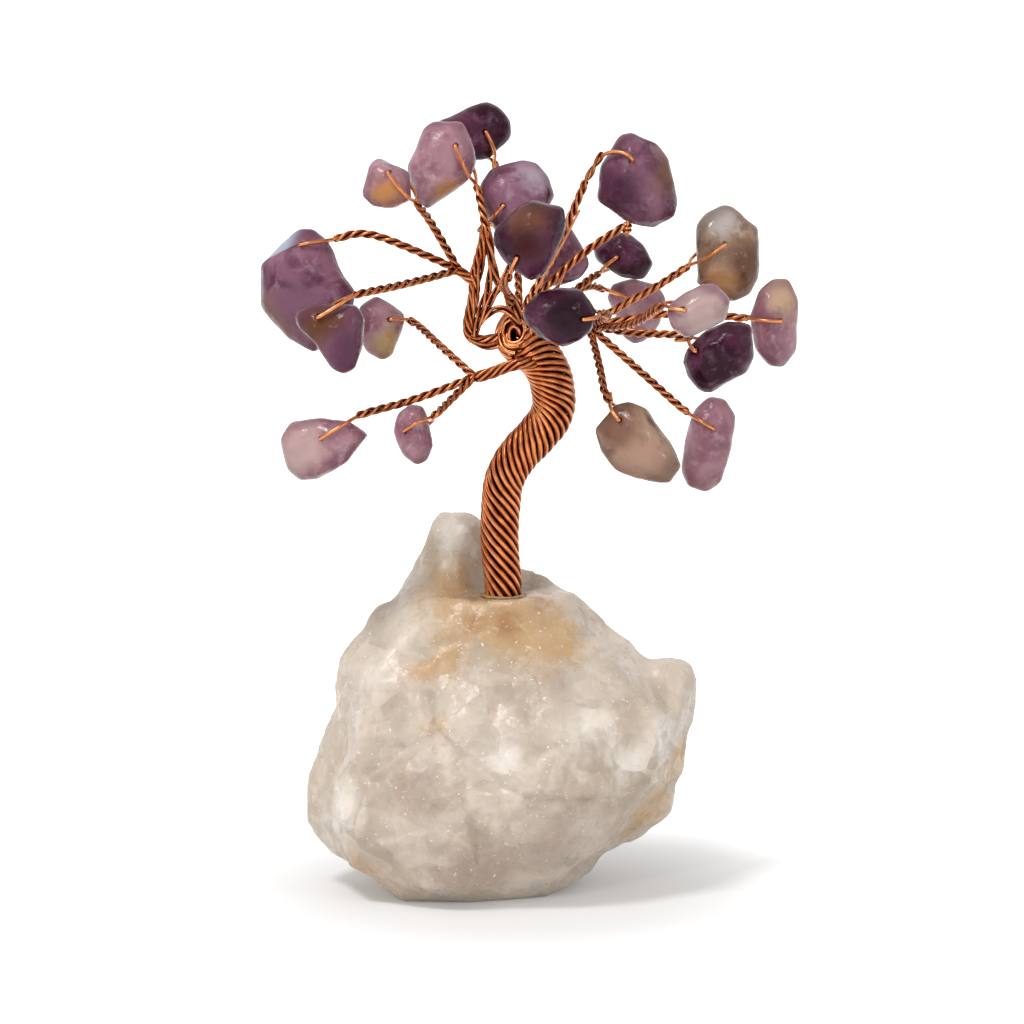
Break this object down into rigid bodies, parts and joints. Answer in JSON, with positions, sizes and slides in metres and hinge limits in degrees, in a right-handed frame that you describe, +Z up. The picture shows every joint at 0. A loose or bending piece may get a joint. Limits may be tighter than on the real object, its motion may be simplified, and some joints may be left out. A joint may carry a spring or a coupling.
{
  "type": "gemstone tree ornament",
  "caption": "Small tree of twisted copper wire hung with tumbled amethyst chips, its trunk set in a block of milky quartz that rests on a flat underside.",
  "frame": {"origin": "on the quartz block's flat underside, straight below the foot of the trunk", "axes": "+Z up along the tree, -Y towards the front that the picture shows, +X to that view's right"},
  "size_m": [0.0753, 0.0501, 0.1105],
  "materials": {
    "milky_quartz": "rough broken crystal, glassy facets",
    "clear_glue": "set adhesive, amber",
    "copper_wire": "bright copper",
    "amethyst": "tumbled, polished",
    "pale_amethyst": "tumbled, polished",
    "deep_amethyst": "tumbled, polished",
    "smoky_quartz": "tumbled, polished"
  },
  "bodies": {
    "root": {"quartz_base": "milky_quartz", "foot_glue": "clear_glue", "crown_knot": "copper_wire", "trunk": "copper_wire", "crown_coil": "copper_wire", "low_left_limb": "copper_wire", "high_left_limb": "copper_wire", "right_limb": "copper_wire", "top_branch": "copper_wire", "left_branch": "copper_wire", "back_branch": "copper_wire", "upright_branch": "copper_wire", "twig_01": "copper_wire", "twig_02": "copper_wire", "twig_03": "copper_wire", "twig_04": "copper_wire", "twig_05": "copper_wire", "twig_06": "copper_wire", "twig_07": "copper_wire", "twig_08": "copper_wire", "twig_09": "copper_wire", "twig_10": "copper_wire", "twig_11": "copper_wire", "twig_12": "copper_wire", "twig_13": "copper_wire", "twig_14": "copper_wire", "twig_15": "copper_wire", "twig_16": "copper_wire", "twig_17": "copper_wire", "twig_18": "copper_wire", "twig_19": "copper_wire", "twig_20": "copper_wire", "twig_21": "copper_wire"},
    "chip_01": {"amethyst_01": "amethyst"},
    "chip_02": {"amethyst_02": "amethyst"},
    "chip_03": {"amethyst_03": "pale_amethyst"},
    "chip_04": {"amethyst_04": "pale_amethyst"},
    "chip_05": {"amethyst_05": "amethyst"},
    "chip_06": {"amethyst_06": "deep_amethyst"},
    "chip_07": {"amethyst_07": "amethyst"},
    "chip_08": {"amethyst_08": "deep_amethyst"},
    "chip_09": {"amethyst_09": "amethyst"},
    "chip_10": {"amethyst_10": "deep_amethyst"},
    "chip_11": {"amethyst_11": "amethyst"},
    "chip_12": {"amethyst_12": "deep_amethyst"},
    "chip_13": {"amethyst_13": "pale_amethyst"},
    "chip_14": {"amethyst_14": "smoky_quartz"},
    "chip_15": {"amethyst_15": "pale_amethyst"},
    "chip_16": {"amethyst_16": "deep_amethyst"},
    "chip_17": {"amethyst_17": "amethyst"},
    "chip_18": {"amethyst_18": "smoky_quartz"},
    "chip_19": {"amethyst_19": "amethyst"},
    "chip_20": {"amethyst_20": "pale_amethyst"},
    "chip_21": {"amethyst_21": "amethyst"}
  },
  "joints": [
    {"name": "chip_01_swing", "type": "hinge", "parent": "root", "child": "chip_01", "pos_m": [-0.02712, 0.00245, 0.09178], "axis": [-0.3083, -0.9487, 0.0698], "range_deg": [-8, 8]},
    {"name": "chip_02_swing", "type": "hinge", "parent": "root", "child": "chip_02", "pos_m": [-0.02463, -0.01418, 0.08408], "axis": [-0.1727, -0.9794, -0.1045], "range_deg": [-8, 8]},
    {"name": "chip_03_swing", "type": "hinge", "parent": "root", "child": "chip_03", "pos_m": [-0.01686, 0.00829, 0.08042], "axis": [0.371, -0.9182, 0.1392], "range_deg": [-8, 8]},
    {"name": "chip_04_swing", "type": "hinge", "parent": "root", "child": "chip_04", "pos_m": [-0.01467, -0.00821, 0.10249], "axis": [-0.3368, -0.9254, 0.1736], "range_deg": [-8, 8]},
    {"name": "chip_05_swing", "type": "hinge", "parent": "root", "child": "chip_05", "pos_m": [-0.00603, 0.00286, 0.10541], "axis": [-0.1727, -0.9794, 0.1045], "range_deg": [-8, 8]},
    {"name": "chip_06_swing", "type": "hinge", "parent": "root", "child": "chip_06", "pos_m": [-0.00339, 0.01724, 0.1059], "axis": [0.2714, -0.9467, 0.1736], "range_deg": [-8, 8]},
    {"name": "chip_07_swing", "type": "hinge", "parent": "root", "child": "chip_07", "pos_m": [-0.00055, 0.00429, 0.0966], "axis": [0.1699, -0.9633, 0.2079], "range_deg": [-8, 8]},
    {"name": "chip_08_swing", "type": "hinge", "parent": "root", "child": "chip_08", "pos_m": [0.00246, -0.01468, 0.09234], "axis": [-0.1388, -0.9879, -0.0698], "range_deg": [-8, 8]},
    {"name": "chip_09_swing", "type": "hinge", "parent": "root", "child": "chip_09", "pos_m": [0.00757, 0.01328, 0.08747], "axis": [0.3073, -0.9458, 0.1045], "range_deg": [-8, 8]},
    {"name": "chip_10_swing", "type": "hinge", "parent": "root", "child": "chip_10", "pos_m": [0.01038, -0.01765, 0.08434], "axis": [0.1386, -0.9865, -0.0872], "range_deg": [-8, 8]},
    {"name": "chip_11_swing", "type": "hinge", "parent": "root", "child": "chip_11", "pos_m": [0.01764, 0.00367, 0.09874], "axis": [0.0472, -0.3048, 0.9513], "range_deg": [-8, 8]},
    {"name": "chip_12_swing", "type": "hinge", "parent": "root", "child": "chip_12", "pos_m": [0.01695, 0.01902, 0.08819], "axis": [-0.2406, -0.965, 0.1045], "range_deg": [-8, 8]},
    {"name": "chip_13_swing", "type": "hinge", "parent": "root", "child": "chip_13", "pos_m": [0.01741, 0.02367, 0.0822], "axis": [0.2079, -0.9781, 0], "range_deg": [-8, 8]},
    {"name": "chip_14_swing", "type": "hinge", "parent": "root", "child": "chip_14", "pos_m": [0.03027, 0.0108, 0.09097], "axis": [0.2746, -0.9576, 0.0872], "range_deg": [-8, 8]},
    {"name": "chip_15_swing", "type": "hinge", "parent": "root", "child": "chip_15", "pos_m": [0.02396, -0.01946, 0.08561], "axis": [0.1732, -0.9824, -0.0698], "range_deg": [-8, 8]},
    {"name": "chip_16_swing", "type": "hinge", "parent": "root", "child": "chip_16", "pos_m": [0.02703, -0.00767, 0.07869], "axis": [-0.173, -0.9811, -0.0872], "range_deg": [-8, 8]},
    {"name": "chip_17_swing", "type": "hinge", "parent": "root", "child": "chip_17", "pos_m": [0.03755, 0.00379, 0.08113], "axis": [0.4067, -0.9135, 0], "range_deg": [-8, 8]},
    {"name": "chip_18_swing", "type": "hinge", "parent": "root", "child": "chip_18", "pos_m": [0.01656, -0.01335, 0.06939], "axis": [-0.2074, -0.9758, 0.0698], "range_deg": [-8, 8]},
    {"name": "chip_19_swing", "type": "hinge", "parent": "root", "child": "chip_19", "pos_m": [0.02855, 0.00861, 0.06557], "axis": [0.3083, -0.9487, -0.0698], "range_deg": [-8, 8]},
    {"name": "chip_20_swing", "type": "hinge", "parent": "root", "child": "chip_20", "pos_m": [-0.02436, -0.01004, 0.0666], "axis": [-0.2079, -0.9781, 0], "range_deg": [-8, 8]},
    {"name": "chip_21_swing", "type": "hinge", "parent": "root", "child": "chip_21", "pos_m": [-0.01248, -0.01188, 0.06758], "axis": [-0.3732, -0.9237, 0.0872], "range_deg": [-8, 8]}
  ]
}
